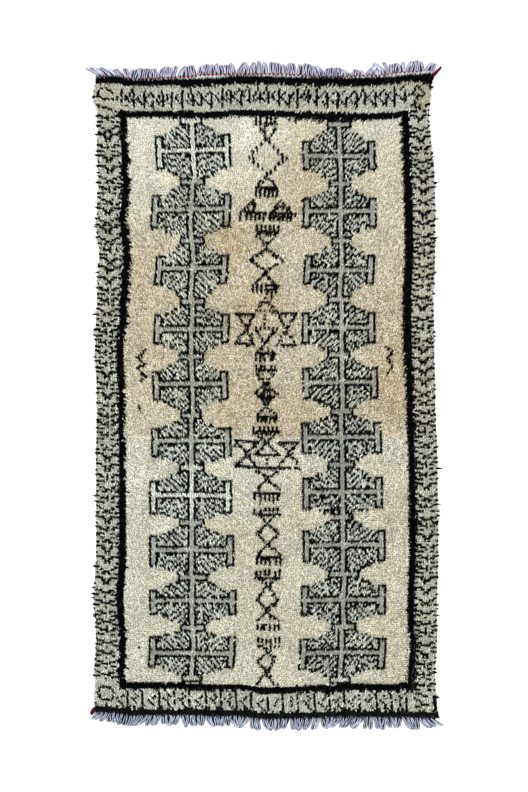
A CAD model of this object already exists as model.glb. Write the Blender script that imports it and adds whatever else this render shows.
"""A hand-knotted wool rug: cream field, black bands, two columns of crosses, lying flat on a pale floor.

Metres, +Z up. The rug's length runs along Y, and the origin is under its middle, on the floor.
"""

import math
import random

import bmesh
import bpy
import numpy as np
from mathutils import Matrix, Vector


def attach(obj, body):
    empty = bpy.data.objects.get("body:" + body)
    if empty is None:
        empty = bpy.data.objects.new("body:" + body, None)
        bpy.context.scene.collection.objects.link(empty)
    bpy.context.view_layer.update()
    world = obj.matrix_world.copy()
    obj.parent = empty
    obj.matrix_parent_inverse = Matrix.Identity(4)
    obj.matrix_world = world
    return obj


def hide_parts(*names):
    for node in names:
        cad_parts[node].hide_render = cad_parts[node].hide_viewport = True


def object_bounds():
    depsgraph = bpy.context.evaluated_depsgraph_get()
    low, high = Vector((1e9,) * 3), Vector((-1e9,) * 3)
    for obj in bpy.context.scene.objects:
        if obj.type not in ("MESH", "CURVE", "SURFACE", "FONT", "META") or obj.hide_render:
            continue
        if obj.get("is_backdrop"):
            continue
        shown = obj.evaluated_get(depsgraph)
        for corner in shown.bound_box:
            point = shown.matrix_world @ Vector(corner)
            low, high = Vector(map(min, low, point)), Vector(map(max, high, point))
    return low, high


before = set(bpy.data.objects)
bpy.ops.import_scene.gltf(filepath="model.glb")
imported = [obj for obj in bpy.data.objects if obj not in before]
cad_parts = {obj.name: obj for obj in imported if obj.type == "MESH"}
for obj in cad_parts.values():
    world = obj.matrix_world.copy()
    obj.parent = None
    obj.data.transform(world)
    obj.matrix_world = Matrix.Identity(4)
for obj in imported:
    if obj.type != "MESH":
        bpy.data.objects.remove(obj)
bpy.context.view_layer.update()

# ---- Floor, light and camera ---------------------------------------------------------------------
# A pale, matt studio floor, a wide soft light from every side with a little more from the upper left,
# and a camera straight above the rug, as far off as the photograph's frame needs.

FLOOR_SIZE = 12.0
FLOOR_PAINT = (0.90, 0.90, 0.90)
VIEW_LENGTH = 3.5006
VIEW_MIDDLE = (-0.0111, 0.0022)
LENS = 70.0
SENSOR = 36.0
SKY_STRENGTH = 1.9
KEY_STRENGTH = 1.1
KEY_SPREAD = math.radians(38)
KEY_TURN = (math.radians(-30), math.radians(-26), 0)


class Term:
    """A number that varies over a surface. Arithmetic on it adds Math nodes; make() adds any other node."""

    def __init__(self, tree, socket=None):
        self.tree = tree
        self.socket = socket

    def make(self, kind, settings, inputs, output=0):
        node = self.tree.nodes.new(kind)
        for name, value in settings.items():
            setattr(node, name, value)
        for name, value in inputs.items():
            if isinstance(value, Term):
                self.tree.links.new(value.socket, node.inputs[name])
            else:
                node.inputs[name].default_value = value
        return Term(self.tree, node.outputs[output])

    def math(self, operation, first, second):
        return self.make("ShaderNodeMath", {"operation": operation}, {0: first, 1: second})

    def __add__(self, other):
        return self.math("ADD", self, other)

    def __sub__(self, other):
        return self.math("SUBTRACT", self, other)

    def __rsub__(self, other):
        return self.math("SUBTRACT", other, self)

    def __mul__(self, other):
        return self.math("MULTIPLY", self, other)

    def __truediv__(self, other):
        return self.math("DIVIDE", self, other)

    def __mod__(self, other):
        return self.math("FLOORED_MODULO", self, other)

    __radd__ = __add__
    __rmul__ = __mul__

    def floor(self):
        return self.math("FLOOR", self, 0.0)

    def absolute(self):
        return self.math("ABSOLUTE", self, 0.0)

    def above(self, other):
        return self.math("GREATER_THAN", self, other)

    def between(self, low, high):
        """1 from low to high, and 0 elsewhere."""
        return self.above(low) * (1 - self.above(high))

    def within(self, low, high):
        """0 below low, 1 above high, and even between them."""
        limits = {"From Min": low, "From Max": high}
        return self.make("ShaderNodeMapRange", {"clamp": True}, {"Value": self, **limits})

    def mixed(self, first, second):
        """The first colour where this is 0, and the second where it is 1."""
        colours = [value if isinstance(value, Term) else (*value, 1) for value in (first, second)]
        return self.make("ShaderNodeMix", {"data_type": "RGBA"}, {0: self, 6: colours[0], 7: colours[1]}, 2)

    def tinted(self, colour):
        """A colour multiplied by this, the same for red, green and blue."""
        grey = self.make("ShaderNodeCombineXYZ", {}, {"X": self, "Y": self, "Z": self})
        settings = {"operation": "MULTIPLY"}
        return self.make("ShaderNodeVectorMath", settings, {0: colour, 1: grey})

    def parts(self):
        """A vector's three parts, each a term."""
        node = self.tree.nodes.new("ShaderNodeSeparateXYZ")
        self.tree.links.new(self.socket, node.inputs[0])
        return [Term(self.tree, output) for output in node.outputs]

    def noise(self, scale, detail):
        """Noise over the places that this gives."""
        return self.make("ShaderNodeTexNoise", {}, {"Vector": self, "Scale": scale, "Detail": detail})

    def wave(self, direction, scale, distortion):
        """Even bands over the places that this gives."""
        settings = {"wave_type": "BANDS", "bands_direction": direction}
        inputs = {"Vector": self, "Scale": scale, "Distortion": distortion}
        return self.make("ShaderNodeTexWave", settings, inputs, 1)

    def bump(self, strength, distance):
        """A normal that reads this as the surface's height."""
        return self.make("ShaderNodeBump", {}, {"Strength": strength, "Distance": distance, "Height": self})


def finish(name, roughness, specular, sheen=0.0):
    """A new material, its shader, and a term from which its nodes are made."""
    material = bpy.data.materials.new(name)
    material.use_nodes = True
    shader = material.node_tree.nodes["Principled BSDF"]
    shader.inputs["Roughness"].default_value = roughness
    shader.inputs["Specular IOR Level"].default_value = specular
    shader.inputs["Sheen Weight"].default_value = sheen
    shader.inputs["Sheen Roughness"].default_value = 0.5
    return material, shader, Term(material.node_tree)


def feed(shader, name, term):
    """Lead a term into one of the shader's inputs."""
    term.tree.links.new(term.socket, shader.inputs[name])


def add_piece(name, form, material):
    """A bmesh or a mesh made an object that rides on the rug's body."""
    if isinstance(form, bmesh.types.BMesh):
        mesh = bpy.data.meshes.new(name)
        form.to_mesh(mesh)
        form.free()
    else:
        mesh = form
        mesh.name = name
    mesh.materials.append(material)
    piece = bpy.data.objects.new(name, mesh)
    bpy.context.scene.collection.objects.link(piece)
    return piece


floor_paint, shader, term = finish("studio_floor_paint", 0.9, 0.1)
place = term.make("ShaderNodeTexCoord", {}, {}, 3)
cloud = place.noise(1.5, 2.0)
clouded = [value * 0.985 for value in FLOOR_PAINT]
feed(shader, "Base Color", cloud.within(0.2, 0.8).mixed(FLOOR_PAINT, clouded))

form = bmesh.new()
bmesh.ops.create_grid(form, x_segments=8, y_segments=8, size=FLOOR_SIZE / 2)
floor = add_piece("studio_floor", form, floor_paint)
floor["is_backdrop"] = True

sky = bpy.data.worlds.new("studio_sky")
bpy.context.scene.world = sky
sky.use_nodes = True
sky.node_tree.nodes["Background"].inputs["Color"].default_value = (1.0, 1.0, 1.0, 1)
sky.node_tree.nodes["Background"].inputs["Strength"].default_value = SKY_STRENGTH

key = bpy.data.objects.new("key_light", bpy.data.lights.new("key_light", "SUN"))
key.data.energy = KEY_STRENGTH
key.data.angle = KEY_SPREAD
key.rotation_euler = KEY_TURN
bpy.context.scene.collection.objects.link(key)

camera = bpy.data.objects.new("camera_above", bpy.data.cameras.new("camera_above"))
camera.data.lens = LENS
camera.data.sensor_width = SENSOR
camera.location = (*VIEW_MIDDLE, VIEW_LENGTH * LENS / SENSOR)
camera.data.clip_end = 50
bpy.context.scene.collection.objects.link(camera)
bpy.context.scene.camera = camera
bpy.context.scene.view_settings.view_transform = "Standard"

# ---- Ground cloth --------------------------------------------------------------------------------
# The cloth that the knots are tied on: cotton warps along the rug and beaten-down wool wefts across it.
# It is about 2.5 mm thick, bows in and out along its sides, and shows the backs of the knots underneath.

RUG_LENGTH = 2.820
CLOTH_BOTTOM = 0.0004
CLOTH_THICKNESS = 0.0026
CLOTH_CELLS = (42, 78)
COLUMNS = 161
ROWS = 303
RIM_START = 0.43

# The cloth's dark lines, under the frame and the bands. Those at the sides and bands are shares measured from
# the middle, and the two at the ends are shares of its length.
SIDE_LINE = (0.410, 0.430)
LOWER_LINE = (0.0435, 0.0500)
UPPER_LINE = (0.9395, 0.9465)
SIDE_LINE_END = 0.450
BAND_START = 0.491

# How far each long side lies from the middle, in millimetres as read from the photograph, and the line that
# the field keeps inside it.
SIDE_COLUMNS = ("y", "left", "right", "field_left", "field_right")
SIDES = (
    (-1408, 758, 758, 758, 758),
    (-1231, 762, 745, 762, 745),
    (-1098, 754, 754, 754, 754),
    (-899, 762, 754, 765, 754),
    (-701, 754, 760, 754, 762),
    (-303, 754, 756, 754, 758),
    (-38, 750, 747, 754, 747),
    (228, 758, 742, 765, 745),
    (427, 750, 738, 754, 740),
    (625, 740, 746, 740, 749),
    (758, 752, 746, 758, 749),
    (979, 743, 742, 743, 745),
    (1090, 750, 727, 752, 741),
    (1222, 745, 718, 757, 738),
    (1328, 769, 727, 758, 738),
    (1412, 751, 736, 751, 738),
)

# How far each end lies from the middle, in millimetres as read from the photograph.
END_COLUMNS = ("x", "bottom", "top")
ENDS = (
    (-750, 1393, 1412),
    (-670, 1399, 1412),
    (-603, 1408, 1399),
    (-338, 1408, 1403),
    (-206, 1412, 1408),
    (-139, 1411, 1417),
    (-7, 1425, 1415),
    (126, 1422, 1410),
    (391, 1415, 1407),
    (524, 1418, 1412),
    (656, 1419, 1424),
    (745, 1422, 1428),
)


def read(table, columns, column, at):
    """A column of a table at places along its first column, eased from row to row."""
    rows = np.array(table, float)
    places = rows[:, 0]
    values = rows[:, columns.index(column)]
    at = np.clip(at, places[0], places[-1])
    low = np.clip(np.searchsorted(places, at, side="right") - 1, 0, len(places) - 2)
    share = (at - places[low]) / (places[low + 1] - places[low])
    eased = share * share * (3 - 2 * share)
    return values[low] + eased * (values[low + 1] - values[low])


def on_rug(across, along):
    """Points of the rug at shares of its width and length, each from 0 to 1, as x and y."""
    y = (np.asarray(along) - 0.5) * RUG_LENGTH * 1000
    at_rim = np.clip((np.abs(across - 0.5) - RIM_START) / (0.5 - RIM_START), 0, 1)
    reach = {}
    for side in ("left", "right"):
        field = read(SIDES, SIDE_COLUMNS, f"field_{side}", y)
        reach[side] = field * (1 - at_rim) + read(SIDES, SIDE_COLUMNS, side, y) * at_rim
    x = across * (reach["left"] + reach["right"]) - reach["left"]
    bottom = -read(ENDS, END_COLUMNS, "bottom", x)
    top = read(ENDS, END_COLUMNS, "top", x)
    return x / 1000, (bottom + along * (top - bottom)) / 1000


cloth_wool, shader, term = finish("ground_cloth_wool", 0.92, 0.1)
place = term.make("ShaderNodeUVMap", {"uv_map": "OFBake"}, {})
across, along, _ = place.parts()
edge_across = (across - 0.5).absolute()
edge_along = (along - 0.5).absolute()
side_frame = edge_across.between(*SIDE_LINE) * (1 - edge_along.above(SIDE_LINE_END))
end_frame = along.between(*LOWER_LINE) + along.between(*UPPER_LINE)
end_frame = end_frame * (1 - edge_across.above(SIDE_LINE[1]))
dark = (side_frame + end_frame + edge_along.above(BAND_START)).within(0.0, 1.0)
ribs = (across * float(COLUMNS) % 1.0 - 0.5).absolute()
picks = (along * float(ROWS) % 1.0 - 0.5).absolute()
knot_noise = place.noise(160.0, 1.0)
light_part = knot_noise.within(0.3, 0.7).mixed((0.32, 0.29, 0.19), (0.48, 0.45, 0.33))
cloth_colour = dark.mixed(light_part, (0.006, 0.006, 0.007))
feed(shader, "Base Color", (1.0 - 0.5 * (ribs + picks).within(0.5, 1.0)).tinted(cloth_colour))
feed(shader, "Normal", (1.0 - (ribs + picks)).bump(0.6, 0.0008))

form = bmesh.new()
bmesh.ops.create_grid(form, x_segments=CLOTH_CELLS[0], y_segments=CLOTH_CELLS[1], size=0.5, calc_uvs=False)
flat_map = form.loops.layers.uv.new("OFBake")
for face in form.faces:
    for loop in face.loops:
        loop[flat_map].uv = (loop.vert.co.x + 0.5, loop.vert.co.y + 0.5)
shares = np.array([vert.co[:2] for vert in form.verts]) + 0.5
xs, ys = on_rug(shares[:, 0], shares[:, 1])
for vert, x, y in zip(form.verts, xs, ys):
    vert.co = (x, y, CLOTH_BOTTOM)
bmesh.ops.solidify(form, geom=form.faces[:], thickness=CLOTH_THICKNESS)
bmesh.ops.recalc_face_normals(form, faces=form.faces)
lowest = min(vert.co.z for vert in form.verts)
bmesh.ops.translate(form, verts=form.verts, vec=(0, 0, CLOTH_BOTTOM - lowest))
ground_cloth = add_piece("ground_cloth", form, cloth_wool)
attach(ground_cloth, "root")

# ---- Pattern, knot by knot -----------------------------------------------------------------------
# The chart says which wool each knot is tied with. Rows count from the top end, columns from the left.
# A black band at each end, a border of small figures, a black frame, two columns of crosses joined by their
# stems, and between them a column of diamonds, combs and two stars.
# The places of the crosses, the scrawls and the single dark knots, and the corners of the middle column's
# figures, were picked off the photograph as pixels, turned into knots by a script, and rounded. The frame's
# lines, the lanes' wools and the yellowing were set by eye, after the photograph's own had been measured.

CREAM = 0
PALE = 1
BLACK = 2

chance = random.Random(5)
chart = np.full((ROWS, COLUMNS), CREAM)


def knot(row, column, wool=BLACK):
    """Tie the knot nearest to a row and column, if it is on the rug."""
    row = round(row)
    column = round(column)
    if 0 <= row < ROWS and 0 <= column < COLUMNS:
        chart[row, column] = wool


def line(start, stop, missed=0.0, doubled=0.0):
    """Black knots from one (row, column) to another, a share of them missed and a share doubled."""
    down = stop[0] - start[0]
    over = stop[1] - start[1]
    steps = max(1, round(max(abs(down), abs(over))))
    for step in range(steps + 1):
        row = start[0] + down * step / steps
        column = start[1] + over * step / steps
        if chance.random() >= missed:
            knot(row, column)
            if chance.random() < doubled:
                knot(row + (abs(down) < abs(over)), column + (abs(down) >= abs(over)))


# The frame's first black column on each side, and its first black row at each end, to half a knot.
FRAME_SIDE_COLUMNS = ("row", "left", "left_knots", "right", "right_knots")
FRAME_SIDES = (
    (15, 11.5, 3.5, 145.5, 4),
    (110, 11.5, 3.5, 146, 4),
    (160, 10.5, 2.5, 147, 3.5),
    (230, 11, 3, 147, 3.5),
    (290, 11.5, 3, 148, 3.5),
)
FRAME_END_COLUMNS = ("column", "top", "top_knots", "bottom", "bottom_knots")
FRAME_ENDS = (
    (12, 15, 3, 287, 3.5),
    (70, 16, 3, 288, 2.5),
    (110, 16.5, 3.5, 287.5, 3.5),
    (149, 17, 3, 286.5, 3.5),
)

grid_rows, grid_columns = np.mgrid[0:ROWS, 0:COLUMNS].astype(float)
row_numbers = np.arange(ROWS)
column_numbers = np.arange(COLUMNS)


def frame_line(table, columns, column, places):
    """Whole knots of a frame's line, each rounded by chance to the one below or above."""
    nudges = [chance.uniform(0.25, 0.75) for _ in places]
    return np.floor(read(table, columns, column, places) + nudges).astype(int)


frame_left = frame_line(FRAME_SIDES, FRAME_SIDE_COLUMNS, "left", row_numbers)
frame_right = frame_line(FRAME_SIDES, FRAME_SIDE_COLUMNS, "right", row_numbers)
left_inner = frame_left + frame_line(FRAME_SIDES, FRAME_SIDE_COLUMNS, "left_knots", row_numbers)
right_outer = frame_right + frame_line(FRAME_SIDES, FRAME_SIDE_COLUMNS, "right_knots", row_numbers)
frame_top = frame_line(FRAME_ENDS, FRAME_END_COLUMNS, "top", column_numbers)
frame_bottom = frame_line(FRAME_ENDS, FRAME_END_COLUMNS, "bottom", column_numbers)
top_inner = frame_top + frame_line(FRAME_ENDS, FRAME_END_COLUMNS, "top_knots", column_numbers)
bottom_outer = frame_bottom + frame_line(FRAME_ENDS, FRAME_END_COLUMNS, "bottom_knots", column_numbers)
chart[:] = PALE
for row in range(ROWS):
    for column in range(frame_left[row], right_outer[row]):
        if not frame_top[column] <= row < bottom_outer[column]:
            continue
        in_side = column < left_inner[row] or column >= frame_right[row]
        in_end = row < top_inner[column] or row >= frame_bottom[column]
        chart[row, column] = BLACK if in_side or in_end else CREAM

# The bands: three rows at each end with a ragged inner edge, and deeper at their right corners.
UPPER_BAND = 3
LOWER_BAND = 300
RAGGED_FROM = 40
UPPER_RAGGED = 0.7
LOWER_RAGGED = 0.30
LOWER_DEEPER = 0.4

chart[:UPPER_BAND] = BLACK
for column in range(RAGGED_FROM, COLUMNS):
    knot(UPPER_BAND, column, BLACK if chance.random() < UPPER_RAGGED else PALE)
chart[LOWER_BAND:] = BLACK
for column in range(COLUMNS):
    if chance.random() < LOWER_RAGGED:
        knot(LOWER_BAND - 1, column)
        if chance.random() < LOWER_DEEPER:
            knot(LOWER_BAND - 2, column)
chart[UPPER_BAND : UPPER_BAND + 2, 156:] = BLACK
chart[UPPER_BAND + 2 : UPPER_BAND + 4, 159:] = BLACK
chart[LOWER_BAND - 8 : LOWER_BAND, 159:] = BLACK

# Beside the frame the light locks spread over it: -1 where its black lies to the left, 1 to the right.
framed = chart == BLACK
spread = np.roll(framed, -1, axis=1).astype(float) - np.roll(framed, 1, axis=1)

# The crosses, in whole knots: the arm's row, the stem's column, the serifs' outer columns and rows, the bar
# above with its two columns, and which of three wools the lanes are tied with.
# arm, stem, left, right, top, bottom, bar, bar_left, bar_right, lane
LEFT_CROSSES = (
    (34, 46, 28, 64, 27, 42, 18, 40, 51, "white"),
    (62, 45, 26, 64, 55, 70, 47, 39, 51, "grey"),
    (90, 45, 27, 62, 84, 97, 75, 39, 51, "grey"),
    (119, 46, 28, 64, 112, 125, 104, 40, 52, "grey"),
    (145, 46, 27, 63, 139, 152, 130, 40, 52, "grey"),
    (172, 45, 26, 64, 166, 179, 158, 40, 50, "grey"),
    (198, 45, 25, 64, 191, 206, 183, 39, 51, "white"),
    (224, 45, 25, 65, 217, 231, 209, 39, 51, "grey"),
    (248, 46, 26, 67, 243, 254, 235, 39, 53, "grey"),
    (273, 46, 25, 66, 265, 279, 259, 40, 52, "grey"),
)
RIGHT_CROSSES = (
    (37, 116, 98, 133, 30, 43, 20, 110, 122, "grey"),
    (63, 116, 98, 133, 57, 70, 48, 110, 121, "grey"),
    (91, 116, 98, 132, 84, 97, 75, 111, 121, "grey"),
    (118, 117, 98, 133, 111, 125, 103, 110, 121, "grey"),
    (144, 117, 98, 134, 137, 151, 129, 110, 121, "grey"),
    (170, 116, 97, 135, 163, 177, 156, 111, 122, "dark"),
    (196, 116, 97, 135, 189, 203, 181, 109, 122, "dark"),
    (221, 116, 97, 136, 214, 228, 206, 110, 121, "dark"),
    (247, 117, 97, 137, 240, 253, 233, 109, 124, "dark"),
    (272, 116, 96, 137, 265, 279, 258, 111, 123, "dark"),
)
LAST_BARS = ((283, 41, 51), (283, 111, 121))

# How much darker than other pale wool each lane is, and the share of stray black knots among the strokes.
LANE_DIMS = {"white": -0.2, "grey": 0.35, "dark": 0.5}
LEFT_MUDDLE = 0.04
RIGHT_MUDDLE = 0.08
STROKE_GAP = 3
STROKE_MISSED = 0.14
STROKE_WOBBLE = 0.22
RIM_DOTS = 0.30
EDGE_MISSED = 0.07

dimmed = np.zeros((ROWS, COLUMNS))


def quadrant(cross, bar, side, way, muddle):
    """Slanting strokes between an arm and a stem, as far as the serif and the bar, with some stray black."""
    arm, stem, left, right, top, bottom = cross[:6]
    bar_row, bar_left, bar_right = bar
    corner_row = arm - 3 if way < 0 else arm + 2
    corner_column = stem - 3 if side < 0 else stem + 2
    wide = corner_column - left - 3 if side < 0 else right - corner_column - 4
    tall = corner_row - bar_row - 3 if way < 0 else bar_row - corner_row
    near = corner_column - bar_left if side < 0 else bar_right - corner_column - 1
    low = corner_row - top if way < 0 else bottom - corner_row
    offset = chance.randrange(STROKE_GAP)
    for across in range(wide + 1):
        offset += chance.choice((-1, 1)) if chance.random() < STROKE_WOBBLE else 0
        slope = (across - near) / max(1, wide - near)
        reach = tall if across <= near else tall + (low - tall) * slope
        for up in range(int(reach) + 1):
            row = corner_row + way * up
            column = corner_column + side * across
            stroke = (across - up + offset) % STROKE_GAP == 0
            at_rim = up >= int(reach) and across > near
            dark = stroke and chance.random() >= STROKE_MISSED or at_rim and chance.random() < RIM_DOTS
            dark = dark or chance.random() < muddle
            knot(row, column, BLACK if dark else PALE)
            dimmed[row, column] = muddle


def cross_column(crosses, last_bar, muddle):
    """Crosses joined by their stems: strokes first, then the pale lanes, each edged with one row of black."""
    lanes = np.zeros((ROWS, COLUMNS), bool)
    bars = [cross[6:9] for cross in crosses] + [last_bar]
    for cross, above, below in zip(crosses, bars, bars[1:]):
        for side in (-1, 1):
            quadrant(cross, above, side, -1, muddle)
            quadrant(cross, below, side, 1, muddle)
        arm, stem, left, right, top, bottom = cross[:6]
        lanes[arm - 1 : arm + 1, left + 1 : right - 1] = True
        lanes[top + 1 : bottom, left + 1 : left + 3] = True
        lanes[top + 1 : bottom, right - 3 : right - 1] = True
        lanes[above[0] + 1 : below[0] + 2, stem - 1 : stem + 1] = True
        lanes[above[0] + 1 : above[0] + 3, above[1] + 1 : above[2] - 1] = True
        around = slice(above[0], below[0]), slice(left, right + 1)
        dimmed[around][lanes[around]] = LANE_DIMS[cross[9]]
    row, left, right = last_bar
    lanes[row + 1 : row + 3, left + 1 : right - 1] = True
    edges = np.zeros_like(lanes)
    for down in (-1, 0, 1):
        for over in (-1, 0, 1):
            edges |= np.roll(lanes, (down, over), (0, 1))
    for row, column in zip(*np.nonzero(edges & ~lanes)):
        knot(row, column, BLACK if chance.random() >= EDGE_MISSED else PALE)
    chart[lanes] = PALE


cross_column(LEFT_CROSSES, LAST_BARS[0], LEFT_MUDDLE)
cross_column(RIGHT_CROSSES, LAST_BARS[1], RIGHT_MUDDLE)

# The middle column: diamonds, chevrons from a point to two feet, combs with teeth, stars and hourglasses.
# Their corners are given to half a knot and joined by straight rows of knots.
# top, bottom, middle, left, right, widest
DIAMONDS = (
    (29, 46, 80.5, 72.5, 89.5, 37.5),
    (80, 92, 79.5, 72, 87, 86),
    (144, 154, 80, 75, 85, 149),
    (146, 152, 80, 78, 82, 149),
    (210, 220, 80, 75, 85, 215),
    (239, 251, 80.5, 76, 86, 246),
    (270, 280, 80.5, 76, 84, 275),
)
# point, middle, feet, left, right
CHEVRONS = (
    (30, 81.5, 24.5, 77.5, 85),
    (46, 79.5, 52, 75, 84.5),
    (58, 73.5, 64, 68, 74),
    (58, 87, 65, 81.5, 94),
    (79, 80, 74.5, 75.5, 84.5),
    (92, 79, 98, 74.5, 85.5),
    (125, 80, 119, 76, 84.5),
    (126, 80.5, 129.5, 76, 84.5),
    (143.5, 80.5, 139.5, 76, 84),
    (155, 80, 159, 75.5, 85),
    (172, 80, 168, 75, 84.5),
    (189, 80, 185.5, 76.5, 85),
    (189, 80, 194, 75.5, 85.5),
    (210, 80, 206.5, 76, 84),
    (220, 80, 225, 75.5, 85.5),
    (239, 80.5, 236.5, 76.5, 85),
    (251, 80.5, 256, 76, 86),
    (270, 80.5, 267.5, 77, 84.5),
    (280, 80.5, 286, 76.5, 84.5),
)
# bar, tips, left, right
COMBS = (
    (22.5, 19, 76.5, 86.5),
    (52, 56, 75, 85),
    (63.5, 67, 68.5, 79.5),
    (64.5, 67, 82, 94),
    (73, 70, 75.5, 86),
    (98.5, 101.5, 74.5, 85.5),
    (130, 132.5, 76, 85),
    (138.5, 136, 76, 85),
    (160, 162, 75.5, 85),
    (167, 165, 74.5, 85.5),
    (195.5, 199, 74.5, 86),
    (205.5, 203.5, 74.5, 86),
    (226, 229, 75, 86.5),
    (235.5, 232.5, 75, 86.5),
    (257.5, 260, 75.5, 86.5),
    (266.5, 264.5, 75.5, 86.5),
)
TOOTH_GAP = 2
LINE_MISSED = 0.02
LINE_DOUBLED = 0.20
BAR_DOUBLED = 0.40
# point, bar, foot, middle, left, right
STARS = (
    (104.5, 110.5, 118.5, 80, 75.5, 86.5),
    (172, 177.5, 184.5, 80, 74.5, 86),
)
# top, bottom, waist, middle, left, right
HOURGLASSES = (
    (111.5, 126, 119, 71.5, 66, 75),
    (111, 125.5, 118.5, 90, 86.5, 95),
    (172.5, 184.5, 178, 70.5, 65, 75),
    (171.5, 183.5, 177, 90.5, 85.5, 95),
)

for top, bottom, middle, left, right, widest in DIAMONDS:
    for side in (left, right):
        line((top, middle), (widest, side), LINE_MISSED, LINE_DOUBLED)
        line((widest, side), (bottom, middle), LINE_MISSED, LINE_DOUBLED)
for point, middle, feet, left, right in CHEVRONS:
    for side in (left, right):
        line((point, middle), (feet, side), LINE_MISSED, LINE_DOUBLED)
for bar, tips, left, right in COMBS:
    line((bar, left), (bar, right), 0.0, BAR_DOUBLED)
    tooth = left
    while tooth <= right + 0.3:
        line((bar, tooth), (tips + chance.uniform(-0.5, 0.5), tooth))
        tooth += TOOTH_GAP + chance.uniform(-0.1, 0.3)
for point, bar, foot, middle, left, right in STARS:
    for side in (left, right):
        line((point, middle), (bar, side), LINE_MISSED, LINE_DOUBLED)
    line((bar, left), (bar, right), 0.0, LINE_DOUBLED)
    line((bar, middle), (foot, middle))
    line((foot, left), (foot, right), 0.0, LINE_DOUBLED)
for top, bottom, waist, middle, left, right in HOURGLASSES:
    for bar in (top, bottom):
        line((bar, left), (bar, right), LINE_MISSED, LINE_DOUBLED)
        for side in (left, right):
            line((bar, side), (waist, middle), LINE_MISSED, LINE_DOUBLED)

# Loose black knots that fill three of the figures, and the share of knots there that are black.
# top, bottom, left, right, share
FILLINGS = ((61, 66, 84, 91, 0.4), (61, 64, 70, 73, 0.3), (147, 152, 78, 83, 0.3))
for top, bottom, left, right, share in FILLINGS:
    for row in range(top, bottom):
        for column in range(left, right):
            if chance.random() < share:
                knot(row, column)

# Two loose scrawls beside the frame, generic zigzags drawn by chance, and a few single dark knots.
# top row, middle column, strokes
SCRAWLS = ((128, 22, 5), (127, 139, 4))
SCRAWL_REACH = 2
SPECKS = ((155, 20), (156, 20), (270, 20), (280, 15))

for row, column, strokes in SCRAWLS:
    side = chance.choice((-1, 1))
    start = (row, column - side * SCRAWL_REACH)
    for _ in range(strokes):
        stop = (start[0] + chance.randint(2, 4), column + side * chance.randint(1, SCRAWL_REACH))
        line(start, stop, 0.0, LINE_DOUBLED)
        start = stop
        side = -side
for row, column in SPECKS:
    knot(row, column)

# The border's small figures, charted by hand: triangles up the sides, slants between bars at the ends.
SIDE_FIGURES = (
    (
        "####...####",
        "...##.##...",
        "....###....",
        "#...#.#...#",
        "...........",
    ),
    (
        "##.......##",
        "..##...##..",
        "....###....",
        "##.##.##.##",
        "...........",
    ),
    (
        "###..#..###",
        "..####.##..",
        ".....#.....",
        "####...##.#",
        "...........",
    ),
    (
        "#.........#",
        ".###...###.",
        "...#####...",
        "###.....###",
        ".....#.....",
    ),
)
TOP_FIGURES = (
    (
        "....#",
        "....#",
        "..#.#",
        ".#..#",
        ".#..#",
        "..#.#",
        "...##",
        "....#",
        "....#",
    ),
    (
        ".....",
        "...#.",
        "..#.#",
        ".#..#",
        "#...#",
        ".#..#",
        "..#.#",
        "...##",
        "....#",
    ),
    (
        "...#.",
        "...#.",
        "..#.#",
        "..#.#",
        ".#..#",
        ".#.##",
        "..#.#",
        "....#",
        ".....",
    ),
)
BOTTOM_FIGURES = (
    (
        "......#",
        "......#",
        "....#.#",
        "...#..#",
        ".#....#",
        "..#...#",
        "...#..#",
        "....#.#",
        ".....##",
        "......#",
    ),
    (
        "......#",
        "...#..#",
        "....#.#",
        ".#.#..#",
        "..#...#",
        "...#..#",
        "...#..#",
        "....#.#",
        ".....##",
        "......#",
    ),
)
FIGURE_MISSED = 0.03
TOP_MISSED = 0.06
BOTTOM_MISSED = 0.10
SIDE_PITCH = 4.9
TOP_PITCH = 4.6
BOTTOM_PITCH = 7.28
LEFT_ROWS = (18.0, 285)
RIGHT_ROWS = (14.0, 287)
TOP_COLUMNS = (9.5, 145)
BOTTOM_COLUMNS = (9.3, 145)
RIGHT_FIGURES_COLUMN = 150
TOP_FIGURES_ROW = 4.9
BOTTOM_FIGURES_ROW = 290.6
FOURTH_FROM = 225
FOURTH_SHARE = 0.7


def figure(drawing, row, column, missed=FIGURE_MISSED):
    """A small drawing knotted with its upper left corner at a row and column."""
    for down, drawn in enumerate(drawing):
        for over, mark in enumerate(drawn):
            if mark == "#" and chance.random() >= missed:
                knot(row + down, column + over)


row, last_row = LEFT_ROWS
while row < last_row:
    if row > FOURTH_FROM and chance.random() < FOURTH_SHARE:
        drawing = SIDE_FIGURES[3]
    else:
        drawing = chance.choice(SIDE_FIGURES[:3])
    figure(drawing, row, chance.uniform(-0.4, 0.4))
    row += SIDE_PITCH + chance.uniform(-0.3, 0.3)
row, last_row = RIGHT_ROWS
while row < last_row:
    figure(chance.choice(SIDE_FIGURES), row, RIGHT_FIGURES_COLUMN + chance.uniform(-0.4, 0.4))
    row += SIDE_PITCH + chance.uniform(-0.3, 0.3)
column, last_column = TOP_COLUMNS
while column < last_column:
    figure(chance.choice(TOP_FIGURES), TOP_FIGURES_ROW + chance.uniform(-0.5, 0.5), column, TOP_MISSED)
    column += TOP_PITCH
column, last_column = BOTTOM_COLUMNS
while column < last_column:
    figure(chance.choice(BOTTOM_FIGURES), BOTTOM_FIGURES_ROW, column, BOTTOM_MISSED)
    column += BOTTOM_PITCH + chance.uniform(-0.2, 0.2)

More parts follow.
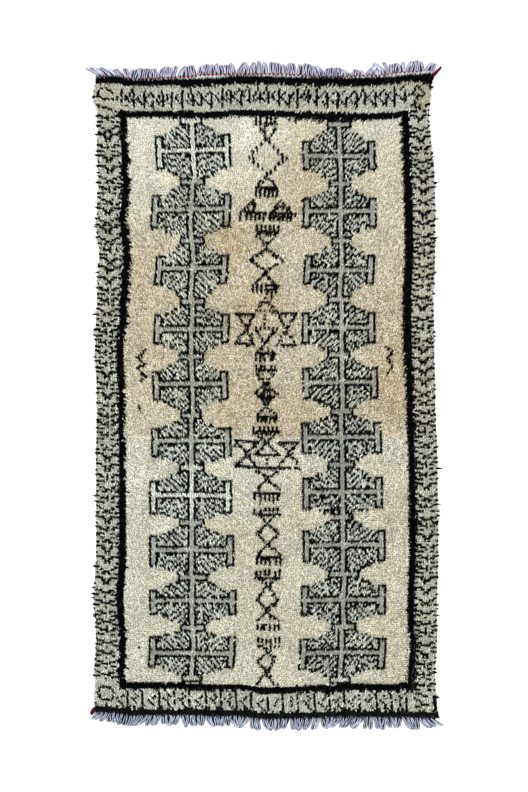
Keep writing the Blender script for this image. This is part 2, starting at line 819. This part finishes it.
# The corners: a triangle and a slanting line at each upper one, a rough ring at the lower left, and a crook
# at the lower right.
UPPER_CORNER_LINES = (
    ((5, 3), (9, 1)),
    ((5, 5), (7, 8)),
    ((9, 0), (10, 8)),
    ((13, 1), (16, 9)),
    ((5, 153), (9, 150)),
    ((5, 153), (9, 157)),
    ((9, 149), (10, 156)),
    ((9, 154), (13, 152)),
)
LOWER_CORNER_LINES = (((291, 151), (292, 156)), ((293, 150), (296, 154)), ((297, 150), (296, 156)))
RING_MIDDLE = (293, 5)
RING_REACH = (3.5, 4)
RING_CORNERS = 8

for start, stop in UPPER_CORNER_LINES + LOWER_CORNER_LINES:
    line(start, stop, LINE_MISSED)
ring = []
for corner in range(RING_CORNERS):
    turn = 2 * math.pi * corner / RING_CORNERS
    down = RING_REACH[0] * math.cos(turn)
    over = RING_REACH[1] * math.sin(turn)
    ring.append((RING_MIDDLE[0] + down, RING_MIDDLE[1] + over))
for start, stop in zip(ring, ring[1:] + ring[:1]):
    line(start, stop, LINE_MISSED)

# How thick the black locks are, which is a little more at the ends and in the middle column, and how long a
# lock lies, which is less in the borders.
LEFT_BORDER = 11
RIGHT_BORDER = 149
UPPER_BORDER = 15
LOWER_BORDER = 289
MIDDLE_ROWS = (18, 288)
MIDDLE_COLUMNS = (64, 97)

between_bands = (grid_rows >= UPPER_BAND) & (grid_rows < LOWER_BAND)
beside_frame = (grid_columns < LEFT_BORDER) | (grid_columns > RIGHT_BORDER)
in_sides = between_bands & beside_frame
in_ends = between_bands & ((grid_rows < UPPER_BORDER) | (grid_rows > LOWER_BORDER))
in_middle = (grid_rows > MIDDLE_ROWS[0]) & (grid_rows < MIDDLE_ROWS[1])
in_middle &= (grid_columns > MIDDLE_COLUMNS[0]) & (grid_columns < MIDDLE_COLUMNS[1])
boldness = np.where(in_ends, 1.1, np.where(in_middle, 1.15, 1.0))
lying = np.where(in_sides, 0.6, np.where(in_ends, 0.85, 1.0))

# Where the wool has yellowed: a few clouds, placed to about ten knots, each faint, clear or deep.
FAINT = 0.15
CLEAR = 0.30
DEEP = 0.50
# row, column, down, over, depth
STAINS = (
    (80, 60, 10, 10, DEEP),
    (110, 20, 30, 15, CLEAR),
    (130, 60, 30, 15, CLEAR),
    (40, 100, 25, 10, CLEAR),
    (70, 80, 10, 15, FAINT),
    (110, 80, 10, 10, CLEAR),
    (140, 140, 30, 10, CLEAR),
    (160, 90, 10, 10, CLEAR),
    (230, 80, 15, 15, FAINT),
    (10, 10, 5, 5, DEEP),
    (10, 155, 5, 5, DEEP),
)


def waves(rows, columns, count, longest, seed):
    """Soft, irregular light and dark from a few long waves, about -1 to 1."""
    draw = random.Random(seed)
    total = np.zeros(rows.shape)
    for number in range(count):
        turn = draw.uniform(0, 2 * math.pi)
        length = longest * draw.uniform(0.3, 1.0)
        phase = (rows * math.cos(turn) + columns * math.sin(turn)) * 2 * math.pi / length
        total += np.sin(phase + draw.uniform(0, 2 * math.pi))
    return total / math.sqrt(count)


# The whole rug is yellowed, a little more to the right. It deepens over the upper rows, and from one row down
# the wool comes from a whiter batch, which the clouds above hardly reach.
BATCH_ROW = 170
UPPER_YELLOW = 0.40
LOWER_YELLOW = 0.12
RIGHT_YELLOW = 0.10
YELLOW_RISE = 80
YELLOW_SPAN = 60

upper_yellow = UPPER_YELLOW * np.clip(grid_rows / YELLOW_RISE, 0.3, 1)
stain = np.where(grid_rows < BATCH_ROW, upper_yellow, LOWER_YELLOW)
stain += RIGHT_YELLOW * np.clip((grid_columns - COLUMNS // 2) / YELLOW_SPAN, -1, 1)
stain += 0.07 * waves(grid_rows, grid_columns, 9, 60, 3)
for row, column, down, over, depth in STAINS:
    reach = ((grid_rows - row) / down) ** 2 + ((grid_columns - column) / over) ** 2
    patch = depth * np.exp(-0.5 * reach**1.5)
    stain += np.where((grid_rows >= BATCH_ROW) & (row < BATCH_ROW), 0.2 * patch, patch)
stain = np.where(chart == PALE, 0.6 * stain, stain)

# The borders are soiled along a few lines, most at the upper end.
BORDER_SOIL = 0.38
SOIL_FADE = 110
SOILED_COLUMNS = (5, 155)
SOILED_ROWS = (4, 14)

in_border = sum(np.exp(-(((grid_columns - column) / 2.0) ** 2)) for column in SOILED_COLUMNS)
in_border += sum(np.exp(-(((grid_rows - row) / 1.5) ** 2)) for row in SOILED_ROWS)
stain += BORDER_SOIL * in_border * np.clip(1.3 - grid_rows / SOIL_FADE, 0.15, 1)
stain = np.where(chart == BLACK, 0.05 * stain + 0.15 * (grid_rows > 297), stain)
stain = np.clip(stain, 0, 1)

# ---- Pile ----------------------------------------------------------------------------------------
# Locks of hand-spun wool, cut about 18 mm high and combed towards the top end by use.
# A cream knot has five short wisps, and any other a bent lock and two wisps. The locks of one wool are joined
# in a few meshes that each span the whole rug, and all take their shade from one small palette.

SHADES = 16
STAIN_STEPS = 8
CELLS = SHADES * STAIN_STEPS
LOCK_WIDTH = 0.0031
LOCK_HEIGHT = 0.0165
LOCK_REACH = 0.0135
ROOT_SHIFT = 0.62
WISP_WIDTH = 0.0026
WISP_REACH = 0.0120
SPREAD = 0.0045
SIDE_REACH = 0.0090
UPPER_REACH = 0.0150
LOWER_REACH = 0.0385
STRAY_REACH = 0.0200
ROOT_HEIGHT = 0.0020
SIDE_RIM_START = 0.482
END_RIM_START = 0.492
LONG_LOCKS = 0.14
TEXTURED_FROM = 90
BRIGHTEST = 1.30
BORDER_DIM = 0.12
WISPS_APART = {CREAM: 0.0014, PALE: 0.0046, BLACK: 0.0060}
KNOT_TRIANGLES = 18
TRIANGLES_IN_A_PIECE = 170000

# Each wool's habits: how thick its locks are against the usual, how unevenly its knots sit and its tips stray
# in metres, how far its locks lie over against the usual, and how mottled it is.
# wool, thickness, unevenness, tousle, laid, mottle
WOOL_HABITS = (
    (CREAM, 1.0, 0.0026, 0.0040, 0.5, 0.40),
    (PALE, 0.9, 0.0020, 0.0038, 1.0, 0.22),
    (BLACK, 1.8, 0.0014, 0.0034, 1.0, 0.20),
)

# Single locks that stand out of the long sides, as in the photograph: the side's sign, and the place along
# the rug in millimetres.
STRAYS = (
    (-1, 1160),
    (-1, 940),
    (-1, 690),
    (-1, 510),
    (-1, 185),
    (-1, -515),
    (-1, -745),
    (1, 700),
    (1, 245),
    (1, -965),
)

# How far the tips lie sideways, in millimetres, at places across the rug, at its lower and its upper end.
COMBED_COLUMNS = ("x", "lower", "upper")
COMBED = ((-760, -1, -5), (-400, -2, -6), (-100, 0, -2), (150, 2, 4), (450, 2, 6), (760, 0, 3))


def wool_material(name, shades, stained, root, darkest, roughness, specular, sheen, streak):
    """Wool whose colour is a palette: across it the shade and the stain, up it from the root to the tip."""
    material, shader, term = finish(name, roughness, specular, sheen)
    palette = term.make("ShaderNodeUVMap", {"uv_map": "OFBake"}, {})
    across, along, _ = palette.parts()
    across = across * float(CELLS)
    cell = across.floor()
    around = across - cell
    shade = (cell % float(SHADES)) / (SHADES - 1)
    yellowed = (cell / float(SHADES)).floor() / (STAIN_STEPS - 1)
    inputs = {"X": around * 5.0, "Y": along * 1.6, "Z": cell * 0.37}
    fibre_place = term.make("ShaderNodeCombineXYZ", {}, inputs)
    fibre = fibre_place.noise(1.0, 1.0)
    root_to_tip = along.within(0.05, 0.75).mixed(root, (1.0, 1.0, 1.0))
    base = yellowed.mixed(shades, stained)
    base = term.make("ShaderNodeVectorMath", {"operation": "MULTIPLY"}, {0: base, 1: root_to_tip})
    value = (darkest + (BRIGHTEST - darkest) * shade) * (1.0 - streak + 2.0 * streak * fibre)
    feed(shader, "Base Color", value.tinted(base))
    feed(shader, "Normal", fibre.bump(0.35, 0.0004))
    return material


def lock_form(rings):
    """A three-sided lock of unit height and radius: a cone cut into rings, each of its own radius."""
    form = bmesh.new()
    bmesh.ops.create_cone(form, cap_ends=True, segments=3, radius1=1.0, radius2=0.0, depth=1.0)
    bmesh.ops.translate(form, verts=form.verts, vec=(0, 0, 0.5))
    for height, radius in rings:
        whole = form.verts[:] + form.edges[:] + form.faces[:]
        bmesh.ops.bisect_plane(form, geom=whole, plane_co=(0, 0, height), plane_no=(0, 0, 1))
        for vert in form.verts:
            if abs(vert.co.z - height) < 1e-5:
                vert.co = vert.co * (radius / vert.co.xy.length)
                vert.co.z = height
    bmesh.ops.remove_doubles(form, verts=form.verts, dist=1e-6)
    bmesh.ops.recalc_face_normals(form, faces=form.faces)
    bmesh.ops.triangulate(form, faces=form.faces)
    return form


def form_arrays(form):
    """A small form's points, its triangles, and for each triangle's corners the shares round it and up it."""
    points = np.array([vert.co[:] for vert in form.verts])
    triangles = np.array([[vert.index for vert in face.verts] for face in form.faces])
    shares = []
    for face in form.faces:
        turns = []
        for vert in face.verts:
            at_tip = vert.co.xy.length < 1e-5
            turns.append(None if at_tip else math.atan2(vert.co.y, vert.co.x) / (2 * math.pi) % 1.0)
        known = [turn for turn in turns if turn is not None]
        if max(known) - min(known) > 0.5:
            turns = [turn if turn is None or turn > 0.5 else turn + 1 for turn in turns]
            known = [turn for turn in turns if turn is not None]
        middle = sum(known) / len(known)
        turns = [middle if turn is None else turn for turn in turns]
        under = abs(face.normal.z) > 0.99
        for number, (vert, turn) in enumerate(zip(face.verts, turns)):
            shares.append((turn / 1.34, 0.03 * (number == 1) if under else 0.04 + 0.94 * vert.co.z))
    form.free()
    return points, triangles, np.array(shares)


def joined_copies(name, form, roots, leans, heights, widths, turns, cells):
    """One mesh of many copies of a small form, each turned, sized and bent over towards its own lean."""
    points, triangles, shares = form
    count = len(roots)
    rise = points[:, 2]
    cos = np.cos(turns)[:, None]
    sin = np.sin(turns)[:, None]
    x = (points[:, 0] * cos - points[:, 1] * sin) * widths[:, None]
    y = (points[:, 0] * sin + points[:, 1] * cos) * widths[:, None]
    bend = rise**1.7
    level = np.maximum(np.hypot(leans[:, 0], leans[:, 1]), 1e-6)[:, None]
    forward = (x * leans[:, :1] + y * leans[:, 1:2]) / level
    tilt = np.where((rise > 0.05) & (rise < 0.95), 0.7, 0.0)
    z = roots[:, 2:3] + (1 - (1 - rise) ** 1.8) * heights[:, None] - forward * tilt
    x = roots[:, :1] + x + bend * leans[:, :1]
    y = roots[:, 1:2] + y + bend * leans[:, 1:2]
    places = np.stack((x, y, z), axis=2)
    corners = (triangles[None] + (np.arange(count) * len(points))[:, None, None]).reshape(-1)
    around = (cells[:, None] + 0.08 + 0.84 * shares[:, 0]) / CELLS
    palette = np.stack((around, np.broadcast_to(shares[:, 1], around.shape)), axis=2)
    mesh = bpy.data.meshes.new(name)
    mesh.vertices.add(count * len(points))
    mesh.vertices.foreach_set("co", places.reshape(-1).astype(np.float32))
    mesh.loops.add(len(corners))
    mesh.loops.foreach_set("vertex_index", corners.astype(np.int32))
    mesh.polygons.add(len(corners) // 3)
    mesh.polygons.foreach_set("loop_start", np.arange(0, len(corners), 3, dtype=np.int32))
    mesh.uv_layers.new(name="OFBake").data.foreach_set("uv", palette.reshape(-1).astype(np.float32))
    mesh.polygons.foreach_set("use_smooth", np.ones(len(corners) // 3, bool))
    mesh.update(calc_edges=True)
    return mesh


def join_meshes(name, meshes):
    """Several meshes made one."""
    form = bmesh.new()
    for mesh in meshes:
        form.from_mesh(mesh)
        bpy.data.meshes.remove(mesh)
    whole = bpy.data.meshes.new(name)
    form.to_mesh(whole)
    form.free()
    return whole


draw = np.random.default_rng(21)
bent_lock = form_arrays(lock_form(((0.5, 0.92),)))
wisp = form_arrays(lock_form(()))

# wool, material, shades, stained, root, then darkest, roughness, specular, sheen, streak
WOOL_LOOKS = (
    (CREAM, "cream_wool_locks", (0.90, 0.905, 0.82), (0.655, 0.515, 0.27), (0.57, 0.56, 0.47))
    + (0.35, 0.9, 0.15, 0.1, 0.16),
    (PALE, "pale_wool_locks", (0.73, 0.79, 0.745), (0.62, 0.54, 0.36), (0.56, 0.54, 0.47))
    + (0.45, 0.9, 0.15, 0.1, 0.16),
    (BLACK, "black_wool_locks", (0.0012, 0.0014, 0.0018), (0.034, 0.030, 0.031), (0.6, 0.6, 0.6))
    + (0.60, 0.95, 0.02, 0.0, 0.2),
)
wools = {wool: wool_material(*look) for wool, *look in WOOL_LOOKS}
WOOL_NAMES = {CREAM: "cream_pile", PALE: "pale_pile", BLACK: "black_pile"}

tone = np.where(chart == CREAM, 0.78, 0.58) + 0.08 * waves(grid_rows, grid_columns, 10, 40, 8)
tone -= BORDER_DIM * (beside_frame | (grid_rows < UPPER_BORDER) | (grid_rows > LOWER_BORDER + 1)) + dimmed
texture = draw.normal(0, 1, (ROWS, COLUMNS)) * (0.03 + 0.07 * np.clip(grid_rows / TEXTURED_FROM, 0, 1))
rim_tufts = np.repeat(np.minimum(draw.gamma(0.9, 0.9, (ROWS // 3 + 1, 2)), 2.2), 3, axis=0)[:ROWS]
for wool, thickness, unevenness, tousle, laid, mottle in WOOL_HABITS:
    rows, columns = np.nonzero(chart == wool)
    pieces = math.ceil(len(rows) * KNOT_TRIANGLES / TRIANGLES_IN_A_PIECE)
    for number in range(pieces):
        own_rows = rows[number::pieces]
        own_columns = columns[number::pieces]
        count = len(own_rows)
        meshes = []
        for kind in range(1, 6) if wool == CREAM else range(3):
            across = (own_columns + 0.5) / COLUMNS
            along = 1 - (own_rows + 0.5) / ROWS
            x, y = on_rug(across, along)
            size = draw.uniform(0.85, 1.15, count)
            sideways = read(COMBED, COMBED_COLUMNS, "lower", x * 1000) * (1 - along)
            sideways = (sideways + read(COMBED, COMBED_COLUMNS, "upper", x * 1000) * along) / 1000
            reach = (LOCK_REACH if kind == 0 else WISP_REACH) * size
            side_rim = np.clip((np.abs(across - 0.5) - SIDE_RIM_START) / (0.5 - SIDE_RIM_START), 0, 1)
            outward = side_rim * np.sign(across - 0.5)
            reach = reach * laid * lying[own_rows, own_columns]
            if wool == BLACK:
                reach = reach * draw.uniform(0.5, 1.5, count)
            leans = np.stack((sideways * reach / LOCK_REACH, reach * (1 - 0.65 * side_rim)), axis=1)
            leans += draw.normal(0, tousle, (count, 2))
            long_ones = draw.random(count) < LONG_LOCKS
            leans[long_ones] += draw.normal(0, 2.0 * tousle, (np.count_nonzero(long_ones), 2))
            end_rim = np.clip((np.abs(along - 0.5) - END_RIM_START) / (0.5 - END_RIM_START), 0, 1)
            end_rim = end_rim * np.sign(along - 0.5)
            leans[:, 0] += spread[own_rows, own_columns] * draw.exponential(SPREAD, count)
            tuft = rim_tufts[own_rows, (across > 0.5).astype(int)]
            leans[:, 0] += outward * SIDE_REACH * tuft * draw.uniform(0.5, 1.3, count)
            reach_out = np.where(end_rim < 0, LOWER_REACH, UPPER_REACH)
            leans[:, 1] += end_rim * reach_out * draw.uniform(0.85, 1.15, count)
            for side, stray_y in STRAYS:
                near = (np.abs(y - stray_y / 1000) < 0.006) & (outward * side > 0.7)
                leans[near, 0] = side * STRAY_REACH
            spot = draw.normal(0, unevenness, (count, 2))
            if kind:
                spot += np.array((WISPS_APART[wool] * (kind - 1.5), 0.0010))
            root_y = y + spot[:, 1] - ROOT_SHIFT * leans[:, 1]
            roots = np.stack((x + spot[:, 0], root_y, np.full(count, ROOT_HEIGHT)), axis=1)
            roots[:, 0] -= ROOT_SHIFT * leans[:, 0] * (side_rim < 0.1)
            low_x, low_y = on_rug(0.003, along)[0], on_rug(across, 0.0012)[1]
            high_x, high_y = on_rug(0.997, along)[0], on_rug(across, 0.9988)[1]
            roots[:, 0] = np.clip(roots[:, 0], low_x, high_x)
            roots[:, 1] = np.clip(roots[:, 1], low_y, high_y)
            height = LOCK_HEIGHT * draw.uniform(0.72, 1.06, count) - 0.002
            width = (LOCK_WIDTH if kind == 0 else WISP_WIDTH) * draw.uniform(0.8, 1.2, count) * thickness
            if wool == BLACK:
                width = width * boldness[own_rows, own_columns]
            change = texture[own_rows, own_columns]
            uneven = mottle * (0.35 + 0.65 * np.clip(own_rows / TEXTURED_FROM, 0, 1))
            uneven = uneven * (1 + 0.5 * stain[own_rows, own_columns])
            change = change + draw.normal(0, 1, count) * uneven
            shade = tone[own_rows, own_columns] + change
            shade = np.clip(np.round(shade * (SHADES - 1)), 0, SHADES - 1)
            level = stain[own_rows, own_columns] + draw.normal(0, 0.05, count)
            if wool == CREAM:
                level = level - change * (0.04 + 0.8 * stain[own_rows, own_columns])
            level = np.clip(np.round(level * (STAIN_STEPS - 1)), 0, STAIN_STEPS - 1)
            cells = level * SHADES + shade
            turns = draw.uniform(0, 2 * math.pi, count)
            small = bent_lock if kind == 0 else wisp
            meshes.append(joined_copies("locks", small, roots, leans, height, width, turns, cells))
        piece = add_piece(f"{WOOL_NAMES[wool]}_{number + 1}", join_meshes("pile", meshes), wools[wool])
        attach(piece, "root")
        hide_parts("pile_rug")

# ---- Fringes -------------------------------------------------------------------------------------
# The ends of the cotton warps: a narrow woven strip beside the pile, and hairpin loops of plied yarn that
# spring from it in clumps, white with a cold, bluish shade where they are soiled.

FRINGE_LEFT = -0.752
FRINGE_RIGHT = 0.738
LOOPS = 84
YARN_RADIUS = 0.0019
SHORTEST_SHARE = 0.76

# How far the loops lean and how long they are at each end, in millimetres as read from the photograph.
LEAN_COLUMNS = ("x", "bottom", "top", "bottom_length", "top_length")
LEANS = (
    (-760, -24, -62, 46, 34),
    (-700, -24, -34, 50, 46),
    (-560, -16, 4, 54, 48),
    (-420, -6, 6, 56, 50),
    (-300, 6, 8, 56, 52),
    (-150, -2, 4, 56, 54),
    (0, -4, 3, 58, 54),
    (150, -6, 4, 58, 54),
    (300, -16, 4, 58, 46),
    (372, -22, -4, 57, 32),
    (432, -26, 2, 57, 30),
    (445, -24, 30, 57, 50),
    (486, -8, 2, 57, 58),
    (519, 4, -26, 57, 54),
    (532, 6, 4, 57, 52),
    (600, 6, 6, 57, 46),
    (690, 24, 18, 52, 46),
    (760, 84, 44, 30, 36),
)

# The line of the red stitches at the upper end, in millimetres as read from the photograph: place across, and
# how far from the middle.
STITCH_COLUMNS = ("x", "y")
STITCHES = (
    (-735, 1414),
    (-564, 1404),
    (-360, 1412),
    (-267, 1422),
    (11, 1426),
    (290, 1413),
    (480, 1420),
    (640, 1436),
    (690, 1438),
)
STITCH_COUNT = 79


def yarn_material(name, clean, soiled, specular):
    """Plied yarn: a slanting twist in relief, and soiling in patches."""
    material, shader, term = finish(name, 0.9, specular, specular / 2)
    place = term.make("ShaderNodeTexCoord", {}, {}, 3)
    patch = place.noise(55.0, 2.0)
    streak = place.noise(300.0, 1.0)
    feed(shader, "Base Color", (patch * 0.8 + streak * 0.4).within(0.42, 0.78).mixed(clean, soiled))
    feed(shader, "Normal", place.wave("DIAGONAL", YARN_TWIST, 1.0).bump(0.5, 0.0006))
    return material


def yarn_mesh(name, paths, radius, roundness=1):
    """Round yarns along paths, with closed ends, as one mesh."""
    curve = bpy.data.curves.new(name, "CURVE")
    curve.dimensions = "3D"
    curve.bevel_depth = radius
    curve.bevel_resolution = roundness
    curve.use_fill_caps = True
    for path in paths:
        spline = curve.splines.new("POLY")
        spline.points.add(len(path) - 1)
        for point, (place, thickness) in zip(spline.points, path):
            point.co = (*place, 1)
            point.radius = thickness
    laid = bpy.data.objects.new(name, curve)
    bpy.context.scene.collection.objects.link(laid)
    bpy.context.view_layer.update()
    mesh = bpy.data.meshes.new_from_object(laid.evaluated_get(bpy.context.evaluated_depsgraph_get()))
    bpy.data.objects.remove(laid)
    bpy.data.curves.remove(curve)
    for face in mesh.polygons:
        face.use_smooth = True
    return mesh


def hairpin(root, end, length, gap, lean, low, chance):
    """A loop of yarn lying on the floor: out along one leg, round, and back along the other."""
    path = []
    for step in range(4):
        share = step / 4
        path.append((-gap * (0.5 + 0.5 * share), share * 0.88))
    for step in range(5):
        turn = math.pi * (0.10 + 0.20 * step)
        path.append((-gap * math.cos(turn), 0.88 + 0.12 * math.sin(turn)))
    for step in range(4):
        share = 1 - (step + 1) / 4
        path.append((gap * (0.5 + 0.5 * share), share * 0.88))
    wave = chance.uniform(-0.0035, 0.0035)
    placed = []
    for across, along in path:
        bend = lean * along**1.6 + wave * math.sin(along * math.pi * 1.5)
        height = low + 0.0020 * math.sin(along * math.pi)
        placed.append(((root.x + across + bend, root.y + end * along * length, height), 1.0))
    return placed


def fringe(end):
    """One end's loops in clumps, each over a darker, wider one, with dark yarns between their legs."""
    chance = random.Random(40 + end)
    yarns = {"clean": [], "shaded": [], "dark": []}
    pitch = (FRINGE_RIGHT - FRINGE_LEFT) / LOOPS
    column = "top" if end > 0 else "bottom"
    dark_share, over_share = (0.7, 0.35) if end > 0 else (1.0, 0.7)
    left_in_clump = 0
    for number in range(LOOPS):
        x = FRINGE_LEFT + (number + 0.5) * pitch
        if left_in_clump == 0:
            left_in_clump = chance.choice((2, 3, 3, 4, 5))
            clump_lean = chance.uniform(-0.012, 0.012)
            clump_share = chance.uniform(0.86, 1.0)
            clump_middle = x + (left_in_clump - 1) * pitch / 2
        left_in_clump -= 1
        lean = read(LEANS, LEAN_COLUMNS, column, x * 1000) / 1000 + clump_lean + (clump_middle - x) * 0.35
        if end > 0:
            base = read(STITCHES, STITCH_COLUMNS, "y", x * 1000) / 1000 + 0.001
        else:
            base = -read(ENDS, END_COLUMNS, "bottom", x * 1000) / 1000 + 0.002
        length = read(LEANS, LEAN_COLUMNS, f"{column}_length", x * 1000) / 1000 * clump_share
        length *= chance.uniform(SHORTEST_SHARE, 1.0)
        lean += chance.uniform(-0.010, 0.010)
        root = Vector((x + chance.uniform(-0.003, 0.003), base, 0))
        gap = chance.choice((0.0036, 0.0046, 0.0056, 0.0068))
        loop = hairpin(root, end, length, gap, lean, 0.0094, chance)
        yarns["clean"].append(loop)
        yarns["shaded"].append([((x, y, z - 0.0044), 2.5) for (x, y, z), thick in loop])
        for side in (0.0, 1.0):
            share = chance.uniform(0.70, 0.95)
            start = Vector((root.x + side * pitch * 0.5, base, 0.0040))
            stop = start + Vector((lean * share**1.6, end * length * share, 0.0))
            thick = chance.uniform(1.4, 1.9)
            bent = start.lerp(stop, 0.5) - Vector((lean * 0.12, 0, 0))
            if chance.random() < dark_share and (side < 1 or left_in_clump > 0 or chance.random() < 0.3):
                yarns["dark"].append([(start, thick), (bent, thick), (stop, 0.6 * thick)])
            if chance.random() < over_share:
                rise = Vector((chance.uniform(-0.004, 0.004), 0, 0.0078))
                yarns["dark"].append([(start + rise, 0.6), (bent + rise, 0.6), (stop + rise * 0.9, 0.4)])
    return yarns


YARN_TWIST = 260.0

# piece, material, clean colour, soiled colour, specular
YARN_LOOKS = (
    ("upper_clean", "white_warp_yarn", (0.56, 0.56, 0.67), (0.24, 0.24, 0.35), 0.2),
    ("upper_shaded", "shaded_warp_yarn", (0.050, 0.048, 0.085), (0.018, 0.018, 0.034), 0.05),
    ("upper_dark", "soiled_warp_yarn", (0.020, 0.024, 0.050), (0.004, 0.005, 0.012), 0.02),
    ("lower_clean", "grey_warp_yarn", (0.46, 0.50, 0.61), (0.16, 0.18, 0.25), 0.2),
    ("lower_shaded", "deep_grey_warp_yarn", (0.018, 0.022, 0.034), (0.006, 0.008, 0.014), 0.05),
    ("lower_dark", "muddy_warp_yarn", (0.014, 0.020, 0.032), (0.004, 0.005, 0.009), 0.02),
)
yarn_materials = {piece: yarn_material(*look) for piece, *look in YARN_LOOKS}
for end, name, node in ((1, "upper", "fringe_top"), (-1, "lower", "fringe_bottom")):
    for kind, paths in fringe(end).items():
        yarns = yarn_mesh(kind, paths, YARN_RADIUS, 1 if kind == "clean" else 0)
        piece = add_piece(f"{name}_fringe_{kind}_yarns", yarns, yarn_materials[f"{name}_{kind}"])
        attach(piece, "root")
        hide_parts(node)

# The woven strips: flat bands of weft between the pile and the loops.
strip_cotton, shader, term = finish("woven_strip_cotton", 0.9, 0.15)
place = term.make("ShaderNodeTexCoord", {}, {}, 3)
speckle = place.noise(320.0, 1.0)
feed(shader, "Base Color", speckle.within(0.3, 0.7).mixed((0.38, 0.43, 0.40), (0.56, 0.61, 0.57)))
feed(shader, "Normal", place.wave("X", 90.0, 0.6).bump(0.5, 0.0005))

for end, name, node in ((1, "upper_strip", "fringe_top"), (-1, "lower_strip", "fringe_bottom")):
    form = bmesh.new()
    inner = []
    for step in range(61):
        x = FRINGE_LEFT + (FRINGE_RIGHT - FRINGE_LEFT) * step / 60
        column = "top" if end > 0 else "bottom"
        inner.append(form.verts.new((x, end * read(ENDS, END_COLUMNS, column, x * 1000) / 1000, 0.0006)))
    edges = [form.edges.new(pair) for pair in zip(inner, inner[1:])]
    drawn = bmesh.ops.extrude_edge_only(form, edges=edges)["geom"]
    for vert in drawn:
        if isinstance(vert, bmesh.types.BMVert):
            if end > 0:
                vert.co.y = read(STITCHES, STITCH_COLUMNS, "y", vert.co.x * 1000) / 1000 + 0.003
            else:
                vert.co.y -= 0.006
    for vert in inner:
        vert.co.y -= end * 0.006
    raised = bmesh.ops.extrude_face_region(form, geom=form.faces[:], use_keep_orig=True)["geom"]
    lifted = [vert for vert in raised if isinstance(vert, bmesh.types.BMVert)]
    bmesh.ops.translate(form, verts=lifted, vec=(0, 0, 0.0028))
    bmesh.ops.recalc_face_normals(form, faces=form.faces)
    piece = add_piece(name, form, strip_cotton)
    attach(piece, "root")
    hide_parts(node)

# ---- Red yarn ------------------------------------------------------------------------------------
# A row of small twined stitches in red wool along the upper strip. The yarn's end hangs out at the upper
# right corner, and a dark red knot of it shows at the lower left.

STITCH_SIZE = (0.0060, 0.0048, 0.0032)
TAIL = ((0.735, 1.418), (0.744, 1.426), (0.753, 1.436), (0.763, 1.445), (0.771, 1.455))
BULB = ((-0.757, 1.3730), (-0.762, 1.3800), (-0.768, 1.3900), (-0.772, 1.3990), (-0.773, 1.4060))


def red_material(name, light, dark):
    """Dyed wool yarn: mottled light and dark, with a slanting twist in relief."""
    material, shader, term = finish(name, 0.9, 0.08)
    place = term.make("ShaderNodeTexCoord", {}, {}, 3)
    mottle = place.noise(260.0, 2.0)
    feed(shader, "Base Color", mottle.within(0.35, 0.55).mixed(light, dark))
    feed(shader, "Normal", place.wave("DIAGONAL", 240.0, 1.0).bump(0.6, 0.0006))
    return material


red_wool = red_material("red_twining_wool", (0.34, 0.010, 0.03), (0.20, 0.005, 0.02))
dark_red_wool = red_material("dark_red_wool", (0.17, 0.007, 0.036), (0.022, 0.001, 0.008))
darkest_red_wool = red_material("darkest_red_wool", (0.085, 0.003, 0.016), (0.010, 0.001, 0.003))

chance = random.Random(17)
form = bmesh.new()
for number in range(STITCH_COUNT):
    x = (-0.735 + (0.690 + 0.735) * (number + 0.5) / STITCH_COUNT) + chance.uniform(-0.001, 0.001)
    y = read(STITCHES, STITCH_COLUMNS, "y", x * 1000) / 1000
    made = bmesh.ops.create_icosphere(form, subdivisions=2, radius=1.0)["verts"]
    size = chance.uniform(0.8, 1.1)
    turn = Matrix.Rotation(chance.uniform(-0.3, 0.1), 4, "Z")
    scale = Matrix.Diagonal((*(value * size for value in STITCH_SIZE), 1))
    bmesh.ops.transform(form, matrix=Matrix.Translation((x, y - 0.0015, 0.0046)) @ turn @ scale, verts=made)
for face in form.faces:
    face.smooth = True
stitches = add_piece("red_stitches", form, red_wool)

tail_path = [((x, y, 0.0084 + 0.0010 * step), 1.1 - 0.12 * step) for step, (x, y) in enumerate(TAIL)]
tail = add_piece("red_yarn_tail", yarn_mesh("tail", [tail_path], 0.0084), dark_red_wool)
thickness = (0.6, 0.9, 1.0, 0.8, 0.3)
bulb_path = [((x, -y, 0.0108), thick) for (x, y), thick in zip(BULB, thickness)]
bulb = add_piece("red_yarn_knot", yarn_mesh("bulb", [bulb_path], 0.0098), darkest_red_wool)
for piece, node in ((stitches, "fringe_top"), (tail, "fringe_top"), (bulb, "fringe_bottom")):
    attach(piece, "root")
    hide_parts(node)

# ---- The cloth's declaration, the sizes and the end ----------------------------------------------
# The ground cloth is one sheet laid flat; the pile, the fringes and the red yarn go with it.

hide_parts("pile_rug")

lowest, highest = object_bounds()
